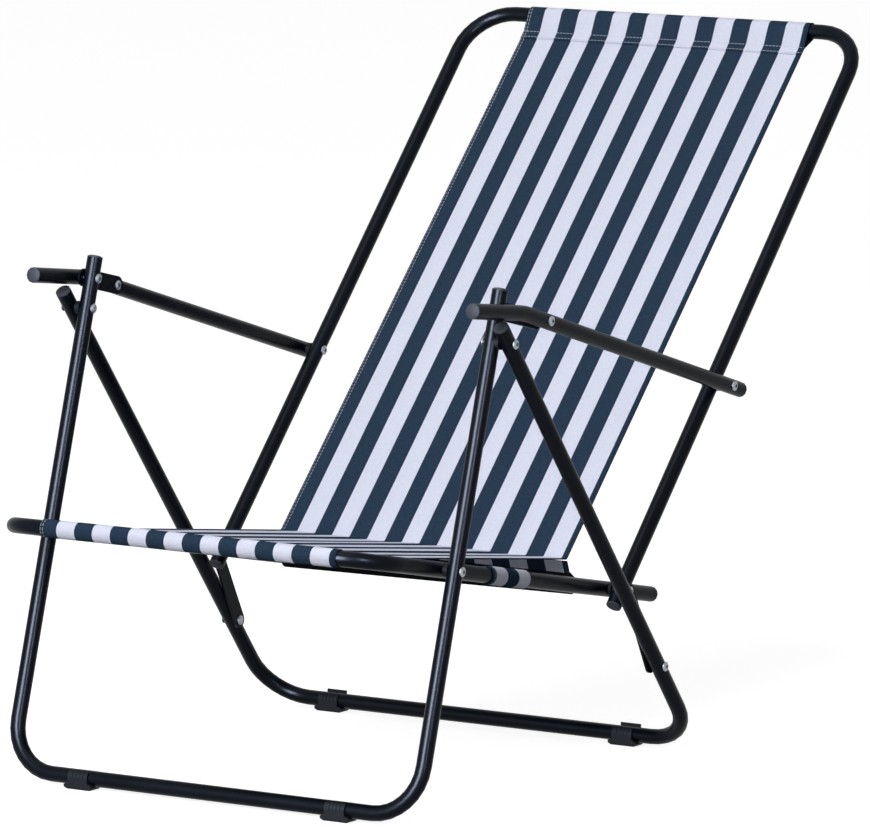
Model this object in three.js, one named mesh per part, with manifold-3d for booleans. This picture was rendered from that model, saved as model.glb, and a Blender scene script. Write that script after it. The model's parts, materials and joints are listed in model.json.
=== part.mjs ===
// Folding sling lawn chair with steel tube frames. Millimetres, Z up, the sitter looks along -Y.
// The origin is on the floor under the middle of the chair, and right is the +X side.
import * as THREE from 'three';
import ManifoldModule from 'manifold-3d';

const manifoldLibrary = await ManifoldModule();
manifoldLibrary.setup();
const { Manifold, CrossSection, Mesh: SolidMesh } = manifoldLibrary;

// Driving sizes.

const tubeDiameter = 19;
const tubeWall = 1.2;
const tubeRadius = tubeDiameter / 2;
const bendRadius = 61;
const fit = 0.3;
const layerGap = 4;
const layerPitch = tubeDiameter + layerGap;

// Half widths to the tube axes: seat rails inside, legs and back beside them, arms outside.
const seatRailX = 266;
const legX = seatRailX + layerPitch;
const outerX = legX + layerPitch;

// Side view, as y and z of the tube axes at their ends and knees.
const footPad = 4;
const floorAxisZ = footPad + tubeRadius;
const frontFootY = -493.5;
const frontLegTopY = -310.3;
const frontLegTopZ = 611.5;
const rearFootY = 100.2;
const rearLegAimY = -346.5;
const rearLegAimZ = 575.9;
const seatFrontY = -554.3;
const seatFrontZ = 322.2;
const seatRearY = 72.7;
const seatRearZ = 196;
const backBottomY = -50.4;
const backBottomZ = 201.6;
const backTopY = 554.1;
const backTopZ = 843;
const armFrontY = -405;
const armFrontZ = 599.7;
const armKneeY = -293.5;
const armKneeZ = 585;
const armRearY = 206.5;
const armRearZ = 435.6;
const armKneeRadius = 120;
const creaseY = -31.5;
const creaseZ = 248;
const crossbarY = -19;
const bracketEndY = -248.5;
const linkFootReach = 136;

const frontFoot = sidePoint(frontFootY, floorAxisZ);
const frontLegTop = sidePoint(frontLegTopY, frontLegTopZ);
const rearFoot = sidePoint(rearFootY, floorAxisZ);
const rearLegAim = sidePoint(rearLegAimY, rearLegAimZ);
const seatFront = sidePoint(seatFrontY, seatFrontZ);
const seatRear = sidePoint(seatRearY, seatRearZ);
const backBottom = sidePoint(backBottomY, backBottomZ);
const backTop = sidePoint(backTopY, backTopZ);
const armFront = sidePoint(armFrontY, armFrontZ);
const armKnee = sidePoint(armKneeY, armKneeZ);
const armRear = sidePoint(armRearY, armRearZ);
const crease = sidePoint(creaseY, creaseZ);

// Fasteners, plates and bushes.
const shankRadius = 3;
const holeRadius = shankRadius + fit;
const headRadius = 6;
const headHeight = 2.5;
const bushRadius = 8;
const bushSaddle = 2.5;
const plateThickness = 3;
const bracketHalfWidth = 11;
const linkHalfWidth = 10;

// End plugs.
const plugCap = 3.2;
const plugSkirt = 12;
const plugRound = 1.2;

// Foot clips.
const footLength = 39;
const footTopLength = 28;
const footChamfer = 3.2;
const footWall = 2.4;
const footBaseHeight = 6;
const footFlare = 2.5;
const footCollarReach = THREE.MathUtils.degToRad(48);
const frontClipRise = 7;
const rearClipRise = 11.5;
const ribCount = 4;
const ribPitch = 5;
const ribWidth = 1.6;
const ribHeight = 0.8;
const frontFootX = 183;
const rearFootX = 216;

// Cloth.
const clothWidth = 416;
const clothThickness = 1.2;
const topSeam = 28;
const frontSeam = 28;
const tailSeam = 17;
const creaseGap = 0.8;
const strapLength = 84;
const strapFront = 256;
const strapThickness = 1.6;

// Mesh fineness.
const tubeSides = 18;
const bendStep = Math.PI / 16;
const turnedSides = 12;
const bushSides = 16;
const pocketArcSteps = 18;
const clipArcSteps = 4;
const hugParts = 3;

// Side view helpers.

function sidePoint(y, z) {
  return new THREE.Vector2(y, z);
}

function crossing(a, b, c, d) {
  const u = b.clone().sub(a);
  const v = d.clone().sub(c);
  const share = c.clone().sub(a).cross(v) / u.cross(v);
  return a.clone().addScaledVector(u, share);
}

function along(from, to, distance) {
  return from.clone().addScaledVector(to.clone().sub(from).normalize(), distance);
}

// How far the rear leg goes past its hinge before the rim of its plug meets the armrest from below.
function reachUnderArm() {
  const leg = rearLegAim.clone().sub(rearFoot).normalize();
  const legSide = new THREE.Vector2(leg.y, -leg.x);
  const arm = armKnee.clone().sub(armFront).normalize();
  const armUp = new THREE.Vector2(-arm.y, arm.x);
  const below = armFront.clone().sub(legHinge).dot(armUp);
  return (below - tubeRadius * legSide.dot(armUp) - tubeRadius - fit) / leg.dot(armUp);
}

function inSpace(x, point) {
  return new THREE.Vector3(x, point.x, point.y);
}

// Hinge points, where tube axes cross.

const legHinge = crossing(frontFoot, frontLegTop, rearFoot, rearLegAim);
const seatHinge = crossing(frontFoot, frontLegTop, seatFront, seatRear);
const hipHinge = crossing(backBottom, backTop, seatFront, seatRear);
const elbowHinge = crossing(backBottom, backTop, armKnee, armRear);
const bracketHinge = crossing(frontFoot, frontLegTop, armFront, armKnee);
const armHinge = crossing(armKnee, armRear, sidePoint(bracketEndY, 0), sidePoint(bracketEndY, 1));
const linkHinge = along(rearFoot, rearLegAim, linkFootReach);
const rearLegTop = along(legHinge, rearLegAim, reachUnderArm() - plugCap);
const crossbar = crossing(seatFront, seatRear, sidePoint(crossbarY, 0), sidePoint(crossbarY, 1));

// Faces of the three layers, as x on the right side.
const railInnerFace = seatRailX - tubeRadius;
const railOuterFace = seatRailX + tubeRadius;
const legInnerFace = legX - tubeRadius;
const legOuterFace = legX + tubeRadius;
const armInnerFace = outerX - tubeRadius;
const armOuterFace = outerX + tubeRadius;
const plateInnerFace = legOuterFace + (layerGap - plateThickness) / 2;
const plateOuterFace = plateInnerFace + plateThickness;

// Solid helpers.

function toSolid(geometry) {
  return new Manifold(new SolidMesh({
    numProp: 3,
    vertProperties: Float32Array.from(geometry.getAttribute('position').array),
    triVerts: Uint32Array.from(geometry.getIndex().array),
  }));
}

function toGeometry(solid) {
  const mesh = solid.getMesh();
  const geometry = new THREE.BufferGeometry();
  geometry.setAttribute('position', new THREE.BufferAttribute(mesh.vertProperties, mesh.numProp));
  geometry.setIndex(new THREE.BufferAttribute(mesh.triVerts, 1));
  return geometry;
}

function closedGeometry(points, faces) {
  const geometry = new THREE.BufferGeometry();
  const positions = points.flatMap((p) => p.toArray());
  geometry.setAttribute('position', new THREE.Float32BufferAttribute(positions, 3));
  geometry.setIndex(faces.flat());
  return geometry;
}

// Rods run along X between two x values.
function rodAlongX(radius, x0, x1, point, sides = turnedSides) {
  return Manifold.cylinder(x1 - x0, radius, radius, sides)
    .rotate([0, 90, 0])
    .translate([x0, point.x, point.y]);
}

// A rod along a member's axis in the side view, long enough to pass right through.
function rodAlongMember(radius, x, from, to) {
  const direction = to.clone().sub(from);
  const length = direction.length();
  const tilt = THREE.MathUtils.radToDeg(Math.atan2(direction.x, direction.y));
  return Manifold.cylinder(3 * length, radius, radius, tubeSides, true)
    .rotate([-tilt, 0, 0])
    .translate([x, (from.x + to.x) / 2, (from.y + to.y) / 2]);
}

function mirrored(solid) {
  return solid.mirror([1, 0, 0]);
}

function flatSolid(shape, depth, curveSegments) {
  const { shape: outline, holes } = shape.extractPoints(curveSegments);
  const rings = [outline, ...holes].map((ring) => ring.map((p) => p.toArray()));
  return new CrossSection(rings, 'EvenOdd').extrude(depth);
}

// A plate in the side view, between two x values.
function sidePlate(shape, x0, x1, curveSegments = 12) {
  return flatSolid(shape, x1 - x0, curveSegments)
    .transform([0, 1, 0, 0, 0, 0, 1, 0, 1, 0, 0, 0, x0, 0, 0, 1]);
}

// Bent tubes: rings only where the path starts, ends or bends.

class TubePath {
  constructor(corners, radius) {
    this.stations = [];
    corners.forEach((corner, i) => {
      const before = corners[i - 1];
      const after = corners[i + 1];
      if (!before || !after) {
        const tangent = (after ?? corner).clone().sub(after ? corner : before).normalize();
        this.stations.push({ point: corner.clone(), tangent });
        return;
      }
      this.addBend(before, corner, after, radius);
    });
  }

  addBend(before, corner, after, radius) {
    const entering = corner.clone().sub(before).normalize();
    const leaving = after.clone().sub(corner).normalize();
    const turn = entering.angleTo(leaving);
    const start = corner.clone().addScaledVector(entering, -radius * Math.tan(turn / 2));
    const inward = leaving.clone().addScaledVector(entering, -Math.cos(turn)).normalize();
    const steps = Math.max(2, Math.ceil(turn / bendStep));
    for (let i = 0; i <= steps; i++) {
      const angle = (turn * i) / steps;
      const point = start.clone()
        .addScaledVector(entering, radius * Math.sin(angle))
        .addScaledVector(inward, radius * (1 - Math.cos(angle)));
      const tangent = entering.clone().multiplyScalar(Math.cos(angle))
        .addScaledVector(inward, Math.sin(angle));
      this.stations.push({ point, tangent });
    }
  }
}

function bentTube(corners, radius = bendRadius, outer = tubeRadius, wall = tubeWall) {
  const { stations } = new TubePath(corners, radius);
  const first = stations[0].tangent;
  const turned = stations.find((s) => s.tangent.angleTo(first) > 0.01);
  const normal = turned
    ? first.clone().cross(turned.tangent).normalize()
    : new THREE.Vector3(0, first.z, -first.y).normalize();
  if (normal.length() < 0.5) normal.set(0, 1, 0);
  const points = [];
  for (const ringRadius of [outer, outer - wall]) {
    for (const { point, tangent } of stations) {
      const across = tangent.clone().cross(normal);
      for (let i = 0; i < tubeSides; i++) {
        const angle = (2 * Math.PI * i) / tubeSides;
        points.push(point.clone()
          .addScaledVector(normal, ringRadius * Math.cos(angle))
          .addScaledVector(across, ringRadius * Math.sin(angle)));
      }
    }
  }
  const at = (skin, ring, i) => (skin * stations.length + ring) * tubeSides + (i % tubeSides);
  const faces = [];
  const quad = (a, b, c, d) => faces.push([a, c, b], [a, d, c]);
  const last = stations.length - 1;
  for (let i = 0; i < tubeSides; i++) {
    for (let ring = 0; ring < last; ring++) {
      quad(at(0, ring, i), at(0, ring + 1, i), at(0, ring + 1, i + 1), at(0, ring, i + 1));
      quad(at(1, ring, i), at(1, ring, i + 1), at(1, ring + 1, i + 1), at(1, ring + 1, i));
    }
    quad(at(0, 0, i), at(0, 0, i + 1), at(1, 0, i + 1), at(1, 0, i));
    quad(at(0, last, i), at(1, last, i), at(1, last, i + 1), at(0, last, i + 1));
  }
  return toSolid(closedGeometry(points, faces));
}

// A bow has two side members in the side view and a cross member between them.
function bow(halfWidth, sideEnd, crossAt) {
  return bentTube([
    inSpace(halfWidth, sideEnd),
    inSpace(halfWidth, crossAt),
    inSpace(-halfWidth, crossAt),
    inSpace(-halfWidth, sideEnd),
  ]);
}

function drilled(solid, x, points) {
  const reach = tubeDiameter;
  return points.reduce((rest, point) => rest
    .subtract(rodAlongX(holeRadius, x - reach, x + reach, point)), solid);
}

function drilledBothSides(solid, x, points) {
  return drilled(drilled(solid, x, points), -x, points);
}

// Turned pieces: a profile of distance along the axis and radius.

function turned(profile) {
  const outline = [[0, profile[0][0]], ...profile.map(([x, r]) => [r, x]), [0, profile.at(-1)[0]]];
  return new CrossSection([outline], 'EvenOdd').revolve(turnedSides);
}

function domedHead(face, direction) {
  return [
    [face, headRadius],
    [face + direction * headHeight * 0.4, headRadius],
    [face + direction * headHeight, headRadius * 0.6],
  ];
}

// A pin along X on the right side, with a domed head where one is asked for.
function pinAlongX(point, x0, x1, headAtStart, headAtEnd) {
  const start = headAtStart
    ? [...domedHead(x0 - fit, -1).reverse(), [x0 - fit, shankRadius]]
    : [[x0, shankRadius]];
  const end = headAtEnd
    ? [[x1 + fit, shankRadius], ...domedHead(x1 + fit, 1)]
    : [[x1, shankRadius]];
  return turned([...start, ...end]).rotate([0, 90, 0]).translate([0, point.x, point.y]);
}

function bush(point, x0, x1, saddleFrom, saddleTo, saddleX) {
  const saddleSide = Math.sign(saddleX - (x0 + x1) / 2);
  const start = saddleSide < 0 ? x0 - bushSaddle : x0 + fit;
  const end = saddleSide > 0 ? x1 + bushSaddle : x1 - fit;
  return rodAlongX(bushRadius, start, end, point, bushSides)
    .subtract(rodAlongX(holeRadius, start - 1, end + 1, point))
    .subtract(rodAlongMember(tubeRadius + fit, saddleX, saddleFrom, saddleTo));
}

function endPlug(x, from, end) {
  const skirtRadius = tubeRadius - tubeWall - fit;
  const profile = [
    [-plugSkirt, skirtRadius],
    [fit, skirtRadius],
    [fit, tubeRadius],
    [plugCap - plugRound, tubeRadius],
    [plugCap, tubeRadius - 2 * plugRound],
  ];
  const direction = end.clone().sub(from);
  const tilt = THREE.MathUtils.radToDeg(Math.atan2(direction.x, direction.y));
  return turned(profile).rotate([-tilt, 0, 0]).translate([x, end.x, end.y]);
}

// Plates.

function barPlate(a, b, halfWidth) {
  const angle = Math.atan2(b.y - a.y, b.x - a.x);
  const shape = new THREE.Shape();
  shape.absarc(a.x, a.y, halfWidth, angle + Math.PI / 2, angle + 1.5 * Math.PI, false);
  shape.absarc(b.x, b.y, halfWidth, angle - Math.PI / 2, angle + Math.PI / 2, false);
  for (const point of [a, b]) {
    const hole = new THREE.Path();
    hole.absarc(point.x, point.y, holeRadius, 0, 2 * Math.PI, true);
    shape.holes.push(hole);
  }
  return sidePlate(shape, plateInnerFace, plateOuterFace, 8);
}

// Foot clips.

// The clip snaps round the floor bar: a ribbed collar in front, a rim behind and a wider base below.
function footRibs(collarRadius) {
  const rib = new THREE.Shape();
  const top = Math.PI - footCollarReach;
  rib.absarc(0, 0, collarRadius + ribHeight, top, Math.PI, false);
  rib.absarc(0, 0, collarRadius - ribHeight, Math.PI, top, true);
  return Array.from({ length: ribCount }, (_, i) => {
    const middle = (i - (ribCount - 1) / 2) * ribPitch;
    return sidePlate(rib, middle - ribWidth / 2, middle + ribWidth / 2, clipArcSteps);
  });
}

function footClip(x, foot, rimRise) {
  const innerRadius = tubeRadius + fit;
  const collarRadius = innerRadius + footWall;
  const ground = -foot.y;
  const collarTop = Math.PI - footCollarReach;
  const section = new THREE.Shape();
  section.absarc(0, 0, collarRadius, collarTop, Math.PI, false);
  section.lineTo(-collarRadius, ground + footWall);
  section.lineTo(-collarRadius + footWall, ground);
  section.lineTo(collarRadius - footWall, ground);
  section.lineTo(collarRadius, ground + footWall);
  section.lineTo(collarRadius, rimRise);
  section.lineTo(innerRadius, rimRise);
  const hug = Math.PI + footCollarReach;
  for (let i = 0; i < hugParts; i++) {
    section.absarc(0, 0, innerRadius, (-hug * i) / hugParts, (-hug * (i + 1)) / hugParts, true);
  }
  const half = footLength / 2;
  const collarHalf = footTopLength / 2;
  const face = new THREE.Shape();
  face.moveTo(-half + footChamfer, ground);
  face.lineTo(half - footChamfer, ground);
  face.lineTo(half, ground + footChamfer);
  face.lineTo(half, ground + footBaseHeight);
  face.lineTo(collarHalf, ground + footBaseHeight + footFlare);
  face.lineTo(collarHalf, tubeDiameter);
  face.lineTo(-collarHalf, tubeDiameter);
  face.lineTo(-collarHalf, ground + footBaseHeight + footFlare);
  face.lineTo(-half, ground + footBaseHeight);
  face.lineTo(-half, ground + footChamfer);
  const outline = flatSolid(face, 2 * tubeDiameter, 1)
    .rotate([90, 0, 0])
    .translate([0, tubeDiameter, 0]);
  const body = sidePlate(section, -half, half, clipArcSteps).intersect(outline);
  return footRibs(collarRadius)
    .reduce((clip, rib) => clip.add(rib), body)
    .translate([x, foot.x, foot.y]);
}

// Cloth: one layer from an edge to a seam, and from there both ways round the bar as a pocket.
// The pull runs through the axis of the bar, so both sides of the pocket meet the panel alike.
function pocketPanel(edge, bar, seam) {
  const inner = tubeRadius + fit;
  const outer = inner + clothThickness;
  const half = clothThickness / 2;
  const run = bar.clone().sub(edge).normalize();
  const up = new THREE.Vector2(-run.y, run.x);
  const seamPoint = bar.clone().addScaledVector(run, -seam);
  const seamAngle = seamPoint.clone().sub(bar).angle();
  const open = Math.acos(inner / seam);
  const below = seamAngle + open;
  const above = seamAngle - open;
  const onBar = (radius, angle) => bar.clone()
    .add(new THREE.Vector2(Math.cos(angle), Math.sin(angle)).multiplyScalar(radius));
  const corner = (angle, side) => {
    const layer = onBar(outer, angle);
    const layerEnd = layer.clone().add(seamPoint).sub(onBar(inner, angle));
    const face = seamPoint.clone().addScaledVector(up, side * half);
    return crossing(layer, layerEnd, face, face.clone().add(run));
  };
  const shape = new THREE.Shape();
  shape.absarc(bar.x, bar.y, outer, below, above + 2 * Math.PI, false);
  const outline = [
    corner(above, 1),
    edge.clone().addScaledVector(up, half),
    edge.clone().addScaledVector(up, -half),
    corner(below, -1),
  ];
  outline.forEach((point) => shape.lineTo(point.x, point.y));
  const pocket = new THREE.Path();
  pocket.absarc(bar.x, bar.y, inner, below, above + 2 * Math.PI, false);
  pocket.lineTo(seamPoint.x, seamPoint.y);
  shape.holes.push(pocket);
  return sidePlate(shape, -clothWidth / 2, clothWidth / 2, pocketArcSteps);
}

function sleeveOnRail() {
  const start = along(seatFront, seatRear, strapFront);
  const end = along(seatFront, seatRear, strapFront + strapLength);
  const outer = tubeRadius + fit + strapThickness;
  return bentTube([inSpace(seatRailX, start), inSpace(seatRailX, end)], 0, outer, strapThickness);
}

// Frames.

const frontLegFrame = drilledBothSides(
  bow(legX, frontLegTop, frontFoot), legX, [legHinge, seatHinge, bracketHinge]);
const rearLegFrame = drilledBothSides(
  bow(outerX, rearLegTop, rearFoot), outerX, [legHinge, linkHinge]);
const seatFrame = drilledBothSides(
  bow(seatRailX, seatRear, seatFront), seatRailX, [seatHinge, hipHinge]);
const backFrame = drilledBothSides(
  bow(legX, backBottom, backTop), legX, [hipHinge, elbowHinge]);
const armrest = drilled(
  bentTube([armFront, armKnee, armRear].map((p) => inSpace(outerX, p)), armKneeRadius),
  outerX, [armHinge, elbowHinge]);

function seatCrossbar() {
  const halfLength = railInnerFace + tubeRadius / 2;
  return [seatRailX, -seatRailX].reduce(
    (bar, x) => bar.subtract(rodAlongMember(tubeRadius + fit, x, seatFront, seatRear)),
    bentTube([inSpace(-halfLength, crossbar), inSpace(halfLength, crossbar)], 0));
}

// Materials.

function material(color, roughness, metalness = 0) {
  return new THREE.MeshStandardMaterial({ color, roughness, metalness });
}

const steelPaint = material('#14171d', 0.35, 0.1);
const blackPlastic = material('#26282b', 0.6);
const boltSteel = material('#b9bcc0', 0.35, 0.9);
const stripedCloth = material('#7d859c', 0.9);

// Assembly.

const chair = new THREE.Group();

function add(name, solid, finish) {
  const parts = solid.decompose();
  if (parts.length > 1) throw new Error(`${name} is in ${parts.length} pieces`);
  const mesh = new THREE.Mesh(toGeometry(solid), finish);
  mesh.name = name;
  chair.add(mesh);
}

function addPair(name, solid, finish) {
  add(`${name}_right`, solid, finish);
  add(`${name}_left`, mirrored(solid), finish);
}

add('front_leg_frame', frontLegFrame, steelPaint);
add('rear_leg_frame', rearLegFrame, steelPaint);
add('seat_frame', seatFrame, steelPaint);
add('seat_crossbar', seatCrossbar(), steelPaint);
add('back_frame', backFrame, steelPaint);
addPair('armrest', armrest, steelPaint);
addPair('arm_bracket', barPlate(bracketHinge, armHinge, bracketHalfWidth), steelPaint);
addPair('link', barPlate(hipHinge, linkHinge, linkHalfWidth), steelPaint);

addPair('front_leg_plug', endPlug(legX, frontFoot, frontLegTop), blackPlastic);
addPair('rear_leg_plug', endPlug(outerX, rearFoot, rearLegTop), blackPlastic);
addPair('seat_rail_plug', endPlug(seatRailX, seatFront, seatRear), blackPlastic);
addPair('back_plug', endPlug(legX, backTop, backBottom), blackPlastic);
addPair('arm_front_plug', endPlug(outerX, armKnee, armFront), blackPlastic);
addPair('arm_rear_plug', endPlug(outerX, armKnee, armRear), blackPlastic);

addPair('leg_bolt', pinAlongX(legHinge, legInnerFace, armOuterFace, true, true), boltSteel);
addPair('seat_bolt', pinAlongX(seatHinge, railInnerFace, legOuterFace, true, true), boltSteel);
addPair('hip_bolt', pinAlongX(hipHinge, railInnerFace, plateOuterFace, true, true), boltSteel);
addPair('elbow_bolt', pinAlongX(elbowHinge, legInnerFace, armOuterFace, true, true), boltSteel);
addPair('bracket_bolt', pinAlongX(bracketHinge, legInnerFace, plateOuterFace, true, false), boltSteel);
addPair('bracket_stud', pinAlongX(armHinge, plateInnerFace, plateOuterFace, true, false), boltSteel);
addPair('arm_screw', pinAlongX(armHinge, armInnerFace + fit, armOuterFace, false, true), boltSteel);
addPair('link_stud', pinAlongX(linkHinge, plateInnerFace, plateOuterFace, true, false), boltSteel);
addPair('link_screw', pinAlongX(linkHinge, armInnerFace + fit, armOuterFace, false, true), boltSteel);

addPair('leg_bush', bush(legHinge, legOuterFace, armInnerFace, frontFoot, frontLegTop, legX), blackPlastic);
addPair(
  'seat_bush',
  bush(seatHinge, railOuterFace, legInnerFace, frontFoot, frontLegTop, legX),
  blackPlastic,
);
addPair(
  'hip_bush',
  bush(hipHinge, railOuterFace, legInnerFace, seatFront, seatRear, seatRailX),
  blackPlastic,
);
addPair(
  'elbow_bush',
  bush(elbowHinge, legOuterFace, armInnerFace, backBottom, backTop, legX),
  blackPlastic,
);

addPair('front_foot', footClip(frontFootX, frontFoot, frontClipRise), blackPlastic);
addPair('rear_foot', footClip(rearFootX, rearFoot, rearClipRise), blackPlastic);

add('sling_back', pocketPanel(crease, backTop, topSeam), stripedCloth);
const seatEdge = along(crease, seatFront, creaseGap);
const tailEdge = along(crease, crossbar, 2 * clothThickness);
add('sling_seat', pocketPanel(seatEdge, seatFront, frontSeam), stripedCloth);
add('sling_tail', pocketPanel(tailEdge, crossbar, tailSeam), stripedCloth);
add('storage_strap', sleeveOnRail(), stripedCloth);

export default chair;
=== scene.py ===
"""Folding sling lawn chair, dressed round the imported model.

Metres, Z up, and the sitter looks along -Y."""

import json
import math

import bmesh
import bpy
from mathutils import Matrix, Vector

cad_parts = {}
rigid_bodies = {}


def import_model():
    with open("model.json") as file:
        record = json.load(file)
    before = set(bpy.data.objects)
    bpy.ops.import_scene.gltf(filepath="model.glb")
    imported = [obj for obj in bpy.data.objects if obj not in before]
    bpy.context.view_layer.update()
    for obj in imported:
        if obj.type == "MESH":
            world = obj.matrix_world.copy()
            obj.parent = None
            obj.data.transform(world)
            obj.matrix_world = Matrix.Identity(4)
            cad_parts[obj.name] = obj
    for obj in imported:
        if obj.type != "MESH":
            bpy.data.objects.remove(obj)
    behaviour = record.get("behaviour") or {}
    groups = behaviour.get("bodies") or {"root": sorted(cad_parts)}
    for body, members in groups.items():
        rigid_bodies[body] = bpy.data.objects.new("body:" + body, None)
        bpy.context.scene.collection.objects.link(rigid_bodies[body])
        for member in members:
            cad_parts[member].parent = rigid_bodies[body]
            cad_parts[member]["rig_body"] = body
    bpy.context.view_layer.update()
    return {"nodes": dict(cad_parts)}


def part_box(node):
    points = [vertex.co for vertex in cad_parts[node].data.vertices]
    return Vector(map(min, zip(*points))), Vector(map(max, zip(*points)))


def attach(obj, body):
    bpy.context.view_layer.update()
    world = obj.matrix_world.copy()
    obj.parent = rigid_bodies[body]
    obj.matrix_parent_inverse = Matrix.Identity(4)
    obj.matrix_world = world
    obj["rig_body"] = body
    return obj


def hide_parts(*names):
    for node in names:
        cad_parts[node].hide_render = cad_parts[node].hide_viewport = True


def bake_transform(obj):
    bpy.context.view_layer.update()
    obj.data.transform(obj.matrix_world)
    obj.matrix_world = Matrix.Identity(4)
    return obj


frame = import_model()
nodes = frame["nodes"]


# Frame tubes, armrests, arm brackets and links: mild steel tube bent cold, and flat bar,
# all powder coated satin black. The baked powder leaves a faint orange peel and a blue cast
# in the highlights, and handling rubs the coat a little lighter in patches.
PEEL_SIZE = 0.003
RUBBED_PATCH = 0.06
SHARP_EDGE = math.radians(32)
SAME_POINT = 0.00001


def linear(hex_colour):
    """An sRGB hex colour as linear RGBA."""
    channels = [int(hex_colour[i : i + 2], 16) / 255 for i in (1, 3, 5)]
    return [c / 12.92 if c <= 0.04045 else ((c + 0.055) / 1.055) ** 2.4 for c in channels] + [1]


def new_material(name):
    material = bpy.data.materials.new(name)
    material.use_nodes = True
    tree = material.node_tree
    tree.nodes.clear()
    return material, tree


def add_node(tree, kind, settings=None, inputs=None):
    """Adds a node. An input is a value, or another node's output to link."""
    node = tree.nodes.new(kind)
    for key, value in (settings or {}).items():
        setattr(node, key, value)
    for key, value in (inputs or {}).items():
        if isinstance(value, bpy.types.NodeSocket):
            tree.links.new(value, node.inputs[key])
        else:
            node.inputs[key].default_value = value
    return node


def powder_coat():
    material, tree = new_material("powder_coated_steel")
    place = add_node(tree, "ShaderNodeTexCoord").outputs["Object"]
    # Orange peel is about 1 mm across on the real coat, and is drawn at 3 mm so that it shows.
    peel = add_node(
        tree, "ShaderNodeTexNoise", None,
        {"Vector": place, "Scale": 1 / PEEL_SIZE, "Detail": 2},
    )
    handling = add_node(
        tree, "ShaderNodeTexNoise", None,
        {"Vector": place, "Scale": 1 / RUBBED_PATCH, "Detail": 3},
    )
    tint = add_node(
        tree, "ShaderNodeMix", {"data_type": "RGBA"},
        {"Factor": handling.outputs["Fac"], "A": linear("#05080f"), "B": linear("#0b111c")},
    )
    gloss = add_node(
        tree, "ShaderNodeMapRange", None,
        {"Value": handling.outputs["Fac"], "To Min": 0.26, "To Max": 0.36},
    )
    bump = add_node(
        tree, "ShaderNodeBump", None,
        {"Height": peel.outputs["Fac"], "Strength": 0.12, "Distance": 0.0004},
    )
    surface = add_node(
        tree, "ShaderNodeBsdfPrincipled", None,
        {
            "Base Color": tint.outputs["Result"],
            "Roughness": gloss.outputs["Result"],
            "IOR": 1.45,
            "Specular IOR Level": 0.06,
            "Normal": bump.outputs["Normal"],
        },
    )
    add_node(tree, "ShaderNodeOutputMaterial", None, {"Surface": surface.outputs["BSDF"]})
    return material


def smoothing_group():
    """Shades a solid smooth, but for the edges that turn by more than 32 degrees."""
    group = bpy.data.node_groups.new("smooth_round_sides", "GeometryNodeTree")
    for way in ("INPUT", "OUTPUT"):
        group.interface.new_socket("Geometry", in_out=way, socket_type="NodeSocketGeometry")
    solid = add_node(group, "NodeGroupInput").outputs[0]
    joined = add_node(
        group, "GeometryNodeMergeByDistance", None, {"Geometry": solid, "Distance": SAME_POINT}
    )
    faces = add_node(
        group, "GeometryNodeSetShadeSmooth", None,
        {"Geometry": joined.outputs[0], "Shade Smooth": True},
    )
    angle = add_node(group, "GeometryNodeInputMeshEdgeAngle").outputs["Unsigned Angle"]
    gentle = add_node(
        group, "FunctionNodeCompare", {"data_type": "FLOAT", "operation": "LESS_THAN"},
        {"A": angle, "B": SHARP_EDGE},
    )
    edges = add_node(
        group, "GeometryNodeSetShadeSmooth", {"domain": "EDGE"},
        {"Geometry": faces.outputs[0], "Shade Smooth": gentle.outputs[0]},
    )
    add_node(group, "NodeGroupOutput", None, {0: edges.outputs[0]})
    return group


smooth_sides = smoothing_group()


def finish_nodes(names, material):
    for name in names:
        piece = nodes[name]
        piece.data.materials.clear()
        piece.data.materials.append(material)
        piece.modifiers.new("smooth_round_sides", "NODES").node_group = smooth_sides


def both_sides(*names):
    return [f"{name}_{side}" for name in names for side in ("right", "left")]


finish_nodes(
    ["front_leg_frame", "rear_leg_frame", "seat_frame", "seat_crossbar", "back_frame"]
    + both_sides("armrest", "arm_bracket", "link"),
    powder_coat(),
)


# End plugs, foot clips and bushes: black polypropylene from the mould.
# It is greyer and duller than the coat beside it, with the fine grain of a spark-eroded mould.
MOULD_GRAIN = 0.0015


def moulded_polypropylene(name, dark, pale):
    material, tree = new_material(name)
    place = add_node(tree, "ShaderNodeTexCoord").outputs["Object"]
    # Mould grain is about 0.3 mm, and is drawn at 1.5 mm so that it shows.
    grain = add_node(
        tree, "ShaderNodeTexNoise", None,
        {"Vector": place, "Scale": 1 / MOULD_GRAIN, "Detail": 2},
    )
    tint = add_node(
        tree, "ShaderNodeMix", {"data_type": "RGBA"},
        {"Factor": grain.outputs["Fac"], "A": linear(dark), "B": linear(pale)},
    )
    bump = add_node(
        tree, "ShaderNodeBump", None,
        {"Height": grain.outputs["Fac"], "Strength": 0.25, "Distance": 0.0002},
    )
    surface = add_node(
        tree, "ShaderNodeBsdfPrincipled", None,
        {
            "Base Color": tint.outputs["Result"],
            "Roughness": 0.58,
            "IOR": 1.49,
            "Specular IOR Level": 0.06,
            "Normal": bump.outputs["Normal"],
        },
    )
    add_node(tree, "ShaderNodeOutputMaterial", None, {"Surface": surface.outputs["BSDF"]})
    return material


finish_nodes(
    both_sides("leg_bush", "seat_bush", "hip_bush", "elbow_bush", "front_foot", "rear_foot"),
    moulded_polypropylene("moulded_polypropylene", "#08090b", "#101215"),
)
# The plugs are painted paler than the clips and bushes: painted light for the light their flat
# ends catch.
finish_nodes(
    both_sides(
        "front_leg_plug", "rear_leg_plug", "seat_rail_plug",
        "back_plug", "arm_front_plug", "arm_rear_plug",
    ),
    moulded_polypropylene("plug_polypropylene_painted_light", "#3c3e48", "#4a4c57"),
)


# Pivot bolts, studs and screws: steel with domed heads, headed cold and zinc plated.
# The plating is pale and slightly uneven, which breaks up the reflections.
PLATING_BLOOM = 0.002


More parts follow.
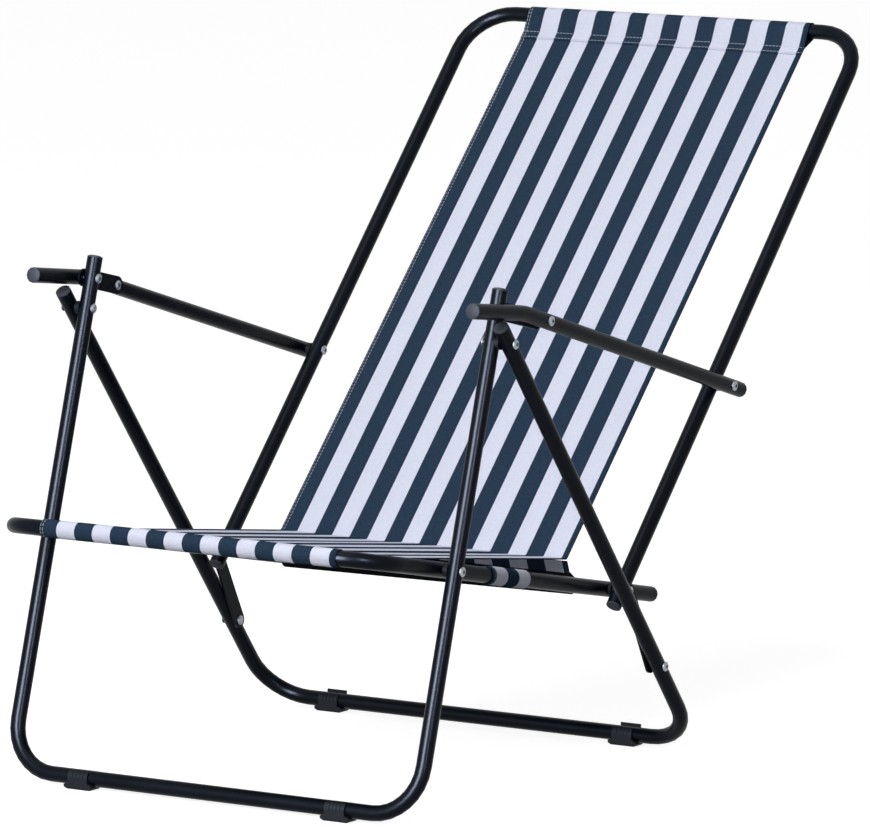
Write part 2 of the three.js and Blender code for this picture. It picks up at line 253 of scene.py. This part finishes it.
def zinc_plate():
    material, tree = new_material("zinc_plated_steel")
    place = add_node(tree, "ShaderNodeTexCoord").outputs["Object"]
    # Plating blooms are about 2 mm across.
    bloom = add_node(
        tree, "ShaderNodeTexNoise", None,
        {"Vector": place, "Scale": 1 / PLATING_BLOOM, "Detail": 3},
    )
    tint = add_node(
        tree, "ShaderNodeMix", {"data_type": "RGBA"},
        {"Factor": bloom.outputs["Fac"], "A": linear("#6f7378"), "B": linear("#a2a6aa")},
    )
    gloss = add_node(
        tree, "ShaderNodeMapRange", None,
        {"Value": bloom.outputs["Fac"], "To Min": 0.26, "To Max": 0.4},
    )
    surface = add_node(
        tree, "ShaderNodeBsdfPrincipled", None,
        {
            "Base Color": tint.outputs["Result"],
            "Metallic": 1.0,
            "Roughness": gloss.outputs["Result"],
        },
    )
    add_node(tree, "ShaderNodeOutputMaterial", None, {"Surface": surface.outputs["BSDF"]})
    return material


finish_nodes(
    both_sides(
        "leg_bolt", "seat_bolt", "hip_bolt", "elbow_bolt", "bracket_bolt",
        "bracket_stud", "arm_screw", "link_stud", "link_screw",
    ),
    zinc_plate(),
)


# Key sockets: hexagonal recesses punched into the ends of the bolts, studs and screws.
# Each is drawn as a shallow dark hex dish on the end, painted shade for the hollow,
# and shows as a dark spot with the plated end round it as a bright rim.
SOCKET_SIDES = 6
SOCKET_RADIUS = 0.0024
SOCKET_FLOOR_RADIUS = SOCKET_RADIUS * 0.86
SOCKET_CENTRE_RADIUS = 0.0004
RIM_LIFT = 0.00012
FLOOR_LIFT = 0.00003
SOCKET_MOTTLE_SIZE = 0.0015


def paint_socket_shade():
    material, tree = new_material("key_socket_painted_shade")
    place = add_node(tree, "ShaderNodeTexCoord").outputs["Object"]
    socket_mottle = add_node(
        tree, "ShaderNodeTexNoise", None, {"Vector": place, "Scale": 1 / SOCKET_MOTTLE_SIZE, "Detail": 2}
    )
    # The socket is painted near-black: painted shade for its hollow.
    tint = add_node(
        tree, "ShaderNodeMix", {"data_type": "RGBA"},
        {"Factor": socket_mottle.outputs["Fac"], "A": linear("#0e0f11"), "B": linear("#26282b")},
    )
    surface = add_node(
        tree, "ShaderNodeBsdfPrincipled", None,
        {"Base Color": tint.outputs["Result"], "Roughness": 0.75},
    )
    add_node(tree, "ShaderNodeOutputMaterial", None, {"Surface": surface.outputs["BSDF"]})
    return material


socket_shade_material = paint_socket_shade()


def add_piece(name, mesh):
    data = bpy.data.meshes.new(name)
    mesh.to_mesh(data)
    mesh.free()
    piece = bpy.data.objects.new(name, data)
    bpy.context.scene.collection.objects.link(piece)
    return piece


def key_sockets(names, inner=False):
    """Painted socket shade on the outer side of each named fastener, or on its inner side."""
    for name in names:
        low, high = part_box(name)
        outward = 1 if name.endswith("right") != inner else -1
        face_x = high.x if outward > 0 else low.x
        centre_y, centre_z = (low.y + high.y) / 2, (low.z + high.z) / 2
        mesh = bmesh.new()
        rings = []
        for radius, lift in (
            (SOCKET_RADIUS, RIM_LIFT),
            (SOCKET_FLOOR_RADIUS, FLOOR_LIFT),
            (SOCKET_CENTRE_RADIUS, FLOOR_LIFT),
        ):
            ring = []
            for k in range(SOCKET_SIDES):
                angle = 2 * math.pi / SOCKET_SIDES * k
                y = centre_y + radius * math.cos(angle)
                z = centre_z + radius * math.sin(angle)
                ring.append(mesh.verts.new((face_x + outward * lift, y, z)))
            rings.append(ring)
        for near, far in zip(rings, rings[1:]):
            for k in range(SOCKET_SIDES):
                following = (k + 1) % SOCKET_SIDES
                mesh.faces.new([near[k], near[following], far[following], far[k]])
        mesh.faces.new(rings[-1])
        bmesh.ops.recalc_face_normals(mesh, faces=mesh.faces)
        socket = add_piece(f"{name}_inner_socket" if inner else f"{name}_socket", mesh)
        socket.data.materials.append(socket_shade_material)
        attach(socket, nodes[name]["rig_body"])


key_sockets(
    both_sides("leg_bolt", "seat_bolt", "hip_bolt", "elbow_bolt", "arm_screw", "link_screw")
)
key_sockets(
    both_sides("seat_bolt", "hip_bolt", "elbow_bolt", "bracket_bolt", "bracket_stud"), inner=True
)


# Sling: one length of woven textile from the top bar down the back, round the crease
# and along the seat to the front bar, sewn into a pocket at each end.
# Navy and white stripes run its whole length, and its edges are turned under.
SLING_WIDTH = 0.416
SLING_THICKNESS = 0.0012
TUBE_RADIUS = 0.0095
BAR_CLEARANCE = 0.0003
POCKET_RADIUS = TUBE_RADIUS + BAR_CLEARANCE + SLING_THICKNESS / 2
TOP_BAR = (0.5541, 0.843)
FRONT_BAR = (-0.5543, 0.3222)
RAIL_REAR = (0.0727, 0.196)
RAIL_X = 0.266
BEND_RADIUS = 0.061
CREASE = (-0.0315, 0.248)
CREASE_RADIUS = 0.005
SEAM = 0.028
SEAM_ROWS_APART = 0.0085
HEM_OVERLAP = 0.0115
SIDE_SEAMS = (0.0015, 0.0048)
SLING_STEP = 0.008
SLING_COLUMNS = 48
POCKET_STEPS = 22
CREASE_STEPS = 10


def side_vector(point):
    return Vector((point[0], point[1]))


def path_length(points):
    return sum((b - a).length for a, b in zip(points, points[1:]))


def evenly(points, step):
    """The same path with no two points further apart than step."""
    path = [points[0]]
    for a, b in zip(points, points[1:]):
        pieces = max(1, math.ceil((b - a).length / step))
        path += [a.lerp(b, i / pieces) for i in range(1, pieces + 1)]
    return path


def pocket_wrap(edge, bar, seam, overlap=0.0):
    """The cloth's path from its seam round a bar, back to the seam, and on over the panel
    as a hem."""
    centre = side_vector(bar)
    run = (centre - side_vector(edge)).normalized()
    seam_point = centre - run * seam
    seam_angle = math.atan2(-run.y, -run.x)
    opening = math.acos(POCKET_RADIUS / seam)
    arc = []
    for i in range(POCKET_STEPS + 1):
        turned = opening + (2 * math.pi - 2 * opening) * i / POCKET_STEPS
        angle = seam_angle + turned
        arc.append(centre + POCKET_RADIUS * Vector((math.cos(angle), math.sin(angle))))
    hem_start = seam_point + Vector((-run.y, run.x)) * SLING_THICKNESS
    path = evenly([seam_point, arc[0]], SLING_STEP)[:-1] + arc
    path += evenly([arc[-1], hem_start], SLING_STEP)[1:]
    if overlap:
        path += evenly([hem_start, hem_start - run * overlap], SLING_STEP)[1:]
    return path


def rounded_corner(before, corner, after, radius):
    """The points of an arc that rounds a corner off."""
    entering = (corner - before).normalized()
    leaving = (after - corner).normalized()
    turn = entering.angle(leaving)
    reach = radius * math.tan(turn / 2)
    start = corner - entering * reach
    inward = (leaving - entering * math.cos(turn)).normalized()
    return [
        start
        + entering * radius * math.sin(turn * i / CREASE_STEPS)
        + inward * radius * (1 - math.cos(turn * i / CREASE_STEPS))
        for i in range(CREASE_STEPS + 1)
    ]


def cloth_strip(name, path, width, wave, drift, bar_bend=None):
    """A strip of cloth along a side view path, with its size in metres as its UVs."""
    lengths = [0.0]
    for a, b in zip(path, path[1:]):
        lengths.append(lengths[-1] + (b - a).length)
    mesh = bmesh.new()
    size = mesh.loops.layers.uv.new("size")
    rows = []
    for i, point in enumerate(path):
        ahead = path[min(i + 1, len(path) - 1)] - path[max(i - 1, 0)]
        normal = Vector((-ahead.y, ahead.x)).normalized()
        row = []
        for k in range(SLING_COLUMNS + 1):
            across = width * k / SLING_COLUMNS
            x = across - width / 2 + drift(lengths[i])
            spot = point + normal * wave(across, lengths[i])
            if bar_bend:
                spot += bar_bend(x, lengths[i])
            row.append((mesh.verts.new((x, spot.x, spot.y)), across, lengths[i]))
        rows.append(row)
    for near, far in zip(rows, rows[1:]):
        for k in range(SLING_COLUMNS):
            corners = [near[k], near[k + 1], far[k + 1], far[k]]
            face = mesh.faces.new([c[0] for c in corners])
            face.smooth = True
            for loop, (_, across, along) in zip(face.loops, corners):
                loop[size].uv = (across, along)
    piece = add_piece(name, mesh)
    thicken(piece)
    return piece, lengths[-1]


def thicken(cloth):
    solid = cloth.modifiers.new("cloth_thickness", "SOLIDIFY")
    solid.thickness = SLING_THICKNESS
    solid.offset = 0


# The textile's stripes, yarns and stitches. The stripes repeat every 51.2 mm,
# and the navy band is half of that.
STRIPE_REPEAT = 0.0512
NAVY_SHARE = 0.5
SLING_FIRST_BAND = 0.0502
YARN_PITCH = 0.0026
SLUB_SIZE = 0.004
WEAVE_IN_COLOUR = 0.25
STITCH_PITCH = 0.005
STITCH_SHARE = 0.7
THREAD_WIDTH = 0.001
THREAD_COVER = 0.55
THREAD_RISE = 3.0
LONGER_THAN_ANY_CLOTH = 10.0


def striped_textile(
    name,
    seams=(),
    side_seams=(),
    first_band=SLING_FIRST_BAND,
    striped_length=LONGER_THAN_ANY_CLOTH,
):
    """Plain woven textile with navy and white stripes. Past its striped length it is painted
    plain dark grey, as painted shade. Seams are stitched lines at distances along the cloth, and
    side seams across it."""
    material, tree = new_material(name)
    place = add_node(tree, "ShaderNodeUVMap", {"uv_map": "size"}).outputs["UV"]
    apart = add_node(tree, "ShaderNodeSeparateXYZ", None, {"Vector": place})
    slub = add_node(
        tree, "ShaderNodeTexNoise", None, {"Vector": place, "Scale": 1 / SLUB_SIZE, "Detail": 4}
    )
    values = {
        "across": apart.outputs["X"],
        "along": apart.outputs["Y"],
        "slub": slub.outputs["Fac"],
        "thread": 0.0,
    }
    # Each value of the pattern: its name, a sum, and what the sum takes.
    # Yarns are about 0.7 mm apart, and are drawn 2.6 mm apart so that they show.
    sums = [
        ("from_first_band", "SUBTRACT", "across", first_band),
        ("repeats", "DIVIDE", "from_first_band", STRIPE_REPEAT),
        ("repeat_share", "FRACT", "repeats"),
        ("navy_here", "LESS_THAN", "repeat_share", NAVY_SHARE),
        ("warp_turn", "MULTIPLY", "across", 2 * math.pi / YARN_PITCH),
        ("warp", "SINE", "warp_turn"),
        ("weft_turn", "MULTIPLY", "along", 2 * math.pi / YARN_PITCH),
        ("weft", "SINE", "weft_turn"),
        ("weave", "MULTIPLY", "warp", "weft"),
        ("yarn", "MULTIPLY_ADD", "weave", WEAVE_IN_COLOUR, "slub"),
        ("sleeve_painted_shade_here", "GREATER_THAN", "along", striped_length),
    ]
    # A lockstitch: pale thread 1 mm wide, 3.5 mm on and 1.5 mm off.
    lines = [("along", "across", seam) for seam in seams]
    lines += [("across", "along", seam) for seam in side_seams]
    for over, beside, seam in lines:
        sums += [
            ("from_seam", "SUBTRACT", over, seam),
            ("distance", "ABSOLUTE", "from_seam"),
            ("on_seam", "LESS_THAN", "distance", THREAD_WIDTH / 2),
            ("stitches", "DIVIDE", beside, STITCH_PITCH),
            ("stitch_share", "FRACT", "stitches"),
            ("in_stitch", "LESS_THAN", "stitch_share", STITCH_SHARE),
            ("stitch", "MULTIPLY", "on_seam", "in_stitch"),
            ("cover", "MULTIPLY", "stitch", THREAD_COVER),
            ("thread", "MAXIMUM", "thread", "cover"),
        ]
    sums += [
        ("thread_rise", "MULTIPLY", "thread", THREAD_RISE),
        ("height", "ADD", "weave", "thread_rise"),
    ]
    for value, operation, *terms in sums:
        inputs = {slot: values.get(term, term) for slot, term in enumerate(terms)}
        values[value] = add_node(
            tree, "ShaderNodeMath", {"operation": operation}, inputs
        ).outputs[0]
    navy = add_node(
        tree, "ShaderNodeMix", {"data_type": "RGBA"},
        {"Factor": values["yarn"], "A": linear("#253345"), "B": linear("#2f4155")},
    )
    white = add_node(
        tree, "ShaderNodeMix", {"data_type": "RGBA"},
        {"Factor": values["yarn"], "A": linear("#cbcfe3"), "B": linear("#dee1f2")},
    )
    stripes = add_node(
        tree, "ShaderNodeMix", {"data_type": "RGBA"},
        {
            "Factor": values["navy_here"],
            "A": white.outputs["Result"],
            "B": navy.outputs["Result"],
        },
    )
    # Past the striped length the cloth is painted plain dark grey: painted shade for the sleeve
    # under the seat.
    cloth = add_node(
        tree, "ShaderNodeMix", {"data_type": "RGBA"},
        {"Factor": values["sleeve_painted_shade_here"], "A": stripes.outputs["Result"], "B": linear("#222428")},
    )
    sewn = add_node(
        tree, "ShaderNodeMix", {"data_type": "RGBA"},
        {"Factor": values["thread"], "A": cloth.outputs["Result"], "B": linear("#c9ccd9")},
    )
    bump = add_node(
        tree, "ShaderNodeBump", None,
        {"Height": values["height"], "Strength": 0.35, "Distance": 0.0002},
    )
    surface = add_node(
        tree, "ShaderNodeBsdfPrincipled", None,
        {
            "Base Color": sewn.outputs["Result"],
            "Roughness": 0.88,
            "Specular IOR Level": 0.0,
            "Normal": bump.outputs["Normal"],
        },
    )
    add_node(tree, "ShaderNodeOutputMaterial", None, {"Surface": surface.outputs["BSDF"]})
    return material


front_path = pocket_wrap(CREASE, FRONT_BAR, SEAM, HEM_OVERLAP)
top_path = pocket_wrap(CREASE, TOP_BAR, SEAM, HEM_OVERLAP)
crease_path = rounded_corner(front_path[0], side_vector(CREASE), top_path[0], CREASE_RADIUS)
sling_path = (
    list(reversed(front_path))
    + evenly([front_path[0], crease_path[0]], SLING_STEP)[1:-1]
    + crease_path
    + evenly([crease_path[-1], top_path[0]], SLING_STEP)[1:-1]
    + top_path
)
front_wrap = path_length(front_path)
top_wrap = path_length(top_path)
whole = path_length(sling_path)
crease_place = front_wrap + (front_path[0] - crease_path[0]).length

RIPPLE_HEIGHT = 0.0007
BROAD_RIPPLE, BROAD_START = 31, 0.6
FINE_RIPPLE, FINE_LEAN, FINE_SHARE = 67, 1.7, 0.6


def slack(across, along):
    """The cloth is drawn tight at its bars, with faint long ripples between them."""
    if not front_wrap < along < whole - top_wrap:
        return 0.0
    share = (along - front_wrap) / (whole - top_wrap - front_wrap)
    broad = math.sin(across * BROAD_RIPPLE + BROAD_START)
    fine = FINE_SHARE * math.sin(across * FINE_RIPPLE + along * FINE_LEAN)
    return RIPPLE_HEIGHT * math.sin(math.pi * share) * (broad + fine)


FRONT_DRIFT, CREASE_DRIFT, TOP_DRIFT = 0.0147, 0.0025, 0.0045


def sling_drift(along):
    """In use the cloth has crept to the right, and most at the front bar."""
    if along < crease_place:
        share = max(0.0, along - front_wrap) / (crease_place - front_wrap)
        return FRONT_DRIFT + (CREASE_DRIFT - FRONT_DRIFT) * share
    share = min(1.0, (along - crease_place) / (whole - top_wrap - crease_place))
    return CREASE_DRIFT + (TOP_DRIFT - CREASE_DRIFT) * share


RAIL_RUN = Vector((RAIL_REAR[0] - FRONT_BAR[0], RAIL_REAR[1] - FRONT_BAR[1])).normalized()
BEND_FADE = 0.06


def round_front_bend(x, along):
    """Where the pocket reaches the front bar's bend, it follows the bar rearward
    and fades into the seat."""
    into_bend = abs(x) - (RAIL_X - BEND_RADIUS)
    if into_bend <= 0:
        return Vector((0, 0))
    fade = max(0.0, 1 - max(0.0, along - front_wrap) / BEND_FADE)
    return RAIL_RUN * (BEND_RADIUS - math.sqrt(BEND_RADIUS**2 - into_bend**2)) * fade


sling, sling_length = cloth_strip(
    "sling", sling_path, SLING_WIDTH, slack, sling_drift, round_front_bend
)
sling.data.materials.append(
    striped_textile(
        "striped_sling_textile",
        seams=[
            HEM_OVERLAP - SEAM_ROWS_APART,
            HEM_OVERLAP,
            whole - HEM_OVERLAP,
            whole - HEM_OVERLAP + SEAM_ROWS_APART,
        ],
        side_seams=SIDE_SEAMS,
    )
)
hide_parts("sling_back", "sling_seat")
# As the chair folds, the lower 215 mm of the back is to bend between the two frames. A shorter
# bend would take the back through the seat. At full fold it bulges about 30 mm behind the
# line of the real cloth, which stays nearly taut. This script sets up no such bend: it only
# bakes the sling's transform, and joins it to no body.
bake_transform(sling)


# Tail: the short end of the cloth under the crease, sewn round the rear crossbar
# to hold the crease down. The stripes end at the sleeve, which is painted plain dark grey:
# painted shade for the shade it hangs in under the seat.
CROSSBAR_Y = -0.019
CROSSBAR = (
    CROSSBAR_Y,
    FRONT_BAR[1] + RAIL_RUN.y / RAIL_RUN.x * (CROSSBAR_Y - FRONT_BAR[0]),
)
TAIL_START = 2 * SLING_THICKNESS
TAIL_SEAM = 0.017
TAIL_STEP = 0.004
TAIL_SAG = 0.003
crease_to_bar = (side_vector(CROSSBAR) - side_vector(CREASE)).normalized()
tail_edge = side_vector(CREASE) + crease_to_bar * TAIL_START
tail_wrap = pocket_wrap(tail_edge, CROSSBAR, TAIL_SEAM)
tail_panel_path = evenly([tail_edge, tail_wrap[0]], TAIL_STEP)
tail_path = tail_panel_path[:-1] + tail_wrap
tail_panel = path_length(tail_panel_path)
tail_whole = path_length(tail_path)


def tail_slack(across, along):
    """The sleeve is loose under the crossbar, and hangs lowest at its left end."""
    share = (along - tail_panel) / (tail_whole - tail_panel)
    if share <= 0:
        return 0.0
    return -TAIL_SAG * (1 - across / SLING_WIDTH) * math.sin(math.pi * share)


tail, tail_length = cloth_strip(
    "sling_tail_cloth", tail_path, SLING_WIDTH, tail_slack, lambda along: CREASE_DRIFT
)
tail.data.materials.append(striped_textile("striped_tail_textile", striped_length=tail_panel))
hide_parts("sling_tail")
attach(tail, "seat")


# Storage strap: a loose sleeve of the same textile round the right seat rail,
# that is pulled over the folded frame to keep it shut. Its bands run round the rail.
STRAP_LENGTH = 0.084
STRAP_FROM_FRONT = 0.256
STRAP_FIRST_BAND = 0.032
STRAP_SEAMS = (0.004, 0.009)
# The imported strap's wall is 1.6 mm, and its cloth is drawn along the middle of that.
STRAP_WALL = 0.0016
STRAP_RADIUS = TUBE_RADIUS + BAR_CLEARANCE + STRAP_WALL / 2
RING_STEPS, STRAP_ROWS = 32, 24
rail_start = side_vector(FRONT_BAR)
rail_up = Vector((-RAIL_RUN.y, RAIL_RUN.x))
strap_mesh = bmesh.new()
strap_size = strap_mesh.loops.layers.uv.new("size")
strap_rings = []
for i in range(STRAP_ROWS + 1):
    reach = STRAP_LENGTH * i / STRAP_ROWS
    ring = []
    for k in range(RING_STEPS):
        angle = 2 * math.pi * k / RING_STEPS
        spot = rail_start + RAIL_RUN * (STRAP_FROM_FRONT + reach)
        spot += rail_up * (STRAP_RADIUS * math.sin(angle))
        x = RAIL_X + STRAP_RADIUS * math.cos(angle)
        ring.append(strap_mesh.verts.new((x, spot.x, spot.y)))
    strap_rings.append((ring, reach))
for (near, near_reach), (far, far_reach) in zip(strap_rings, strap_rings[1:]):
    for k in range(RING_STEPS):
        following = (k + 1) % RING_STEPS
        face = strap_mesh.faces.new([near[k], near[following], far[following], far[k]])
        face.smooth = True
        turns = (k, k + 1, k + 1, k)
        reaches = (near_reach, near_reach, far_reach, far_reach)
        for loop, turned, reach in zip(face.loops, turns, reaches):
            loop[strap_size].uv = (reach, STRAP_RADIUS * 2 * math.pi * turned / RING_STEPS)
strap = add_piece("storage_strap_cloth", strap_mesh)
thicken(strap)
strap.data.materials.append(
    striped_textile(
        "striped_strap_textile", side_seams=STRAP_SEAMS, first_band=STRAP_FIRST_BAND
    )
)
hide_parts("storage_strap")
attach(strap, "seat")


# Floor and light: a white studio sweep with soft lamps, as in a catalogue photograph.
# The eye sees the backdrop white, but it lights the chair only at a plain level.
FLOOR_REACH = 12
LAMP_AIM = Vector((0, 0, 0.4))


def backdrop_seen(tree):
    """1 where the eye sees the backdrop, directly, in a reflection or through something,
    and 0 where it lights."""
    rays = add_node(tree, "ShaderNodeLightPath")
    seen = rays.outputs["Is Camera Ray"]
    for kind in ("Is Glossy Ray", "Is Transmission Ray"):
        seen = add_node(
            tree, "ShaderNodeMath", {"operation": "MAXIMUM"}, {0: seen, 1: rays.outputs[kind]}
        ).outputs[0]
    return seen


floor_mesh = bmesh.new()
bmesh.ops.create_grid(floor_mesh, x_segments=1, y_segments=1, size=FLOOR_REACH)
floor = add_piece("studio_floor", floor_mesh)
floor_material, floor_tree = new_material("pale_studio_floor")
floor_surface = add_node(
    floor_tree, "ShaderNodeBsdfPrincipled", None,
    {"Base Color": linear("#c8c8c8"), "Roughness": 0.9, "Specular IOR Level": 0.0},
)
floor_glow = add_node(
    floor_tree, "ShaderNodeEmission", None,
    {"Color": linear("#ffffff"), "Strength": 0.82},
)
floor_look = add_node(
    floor_tree, "ShaderNodeAddShader", None,
    {0: floor_surface.outputs["BSDF"], 1: floor_glow.outputs["Emission"]},
)
floor_bounce = add_node(
    floor_tree, "ShaderNodeBsdfDiffuse", None, {"Color": linear("#8c8c8c")}
)
floor_mix = add_node(
    floor_tree, "ShaderNodeMixShader", None,
    {
        0: backdrop_seen(floor_tree),
        1: floor_bounce.outputs["BSDF"],
        2: floor_look.outputs["Shader"],
    },
)
add_node(
    floor_tree, "ShaderNodeOutputMaterial", None, {"Surface": floor_mix.outputs["Shader"]}
)
floor.data.materials.append(floor_material)

world = bpy.data.worlds.new("studio")
bpy.context.scene.world = world
world.use_nodes = True
sky = world.node_tree
sky.nodes.clear()
strength = add_node(
    sky, "ShaderNodeMapRange", None,
    {"Value": backdrop_seen(sky), "To Min": 0.27, "To Max": 1.0},
)
sky_light = add_node(
    sky, "ShaderNodeBackground", None,
    {"Color": linear("#ffffff"), "Strength": strength.outputs["Result"]},
)
add_node(sky, "ShaderNodeOutputWorld", None, {"Surface": sky_light.outputs["Background"]})


def soft_lamp(name, place, width, height, watts, colour="#ffffff", only_gloss=False):
    """A soft lamp aimed at the seat. One that is only for gloss shows in reflections
    and lights nothing."""
    lamp = bpy.data.lights.new(name, "AREA")
    lamp.shape = "RECTANGLE"
    lamp.size = width
    lamp.size_y = height
    lamp.energy = watts
    lamp.color = linear(colour)[:3]
    holder = bpy.data.objects.new(name, lamp)
    holder.location = place
    holder.rotation_mode = "QUATERNION"
    holder.rotation_quaternion = (LAMP_AIM - Vector(place)).to_track_quat("-Z", "Y")
    holder.visible_diffuse = not only_gloss
    bpy.context.scene.collection.objects.link(holder)


soft_lamp("front_lamp", (0.2, -4.6, 1.9), 1.6, 2.0, 141)
soft_lamp("overhead_lamp", (-0.2, -0.9, 3.4), 2.0, 1.4, 37)
soft_lamp("front_strip", (0.15, -4.6, 1.7), 1.8, 3.0, 2400, "#d4e2ff", only_gloss=True)
soft_lamp("side_strip", (2.7, -2.4, 1.6), 0.4, 1.6, 260, "#d4e2ff", only_gloss=True)


# Camera: the photograph's own viewpoint, worked out from the tubes' centre lines.
# Its focal length and centre are in the photograph's pixels.
CAMERA_PLACE = Vector((5.1529, -8.0791, 1.7896))
CAMERA_YAW = math.radians(32.534)
CAMERA_PITCH = math.radians(-8.18)
FOCAL_PIXELS = 7894.4
PHOTO_WIDTH, PHOTO_HEIGHT = 870, 829
CENTRE_PIXEL = (433.8, 409.0)
SENSOR_WIDTH = 36
FAR_CLIP = 100
camera_data = bpy.data.cameras.new("photo_camera")
camera_data.sensor_width = SENSOR_WIDTH
camera_data.lens = FOCAL_PIXELS * SENSOR_WIDTH / PHOTO_WIDTH
camera_data.shift_x = (PHOTO_WIDTH / 2 - CENTRE_PIXEL[0]) / PHOTO_WIDTH
camera_data.shift_y = (CENTRE_PIXEL[1] - PHOTO_HEIGHT / 2) / PHOTO_WIDTH
camera_data.clip_end = FAR_CLIP
camera = bpy.data.objects.new("photo_camera", camera_data)
camera.location = CAMERA_PLACE
looking = Vector((
    -math.sin(CAMERA_YAW) * math.cos(CAMERA_PITCH),
    math.cos(CAMERA_YAW) * math.cos(CAMERA_PITCH),
    math.sin(CAMERA_PITCH),
))
camera.rotation_mode = "QUATERNION"
camera.rotation_quaternion = looking.to_track_quat("-Z", "Y")
bpy.context.scene.collection.objects.link(camera)
bpy.context.scene.camera = camera
bpy.context.scene.view_settings.view_transform = "Standard"
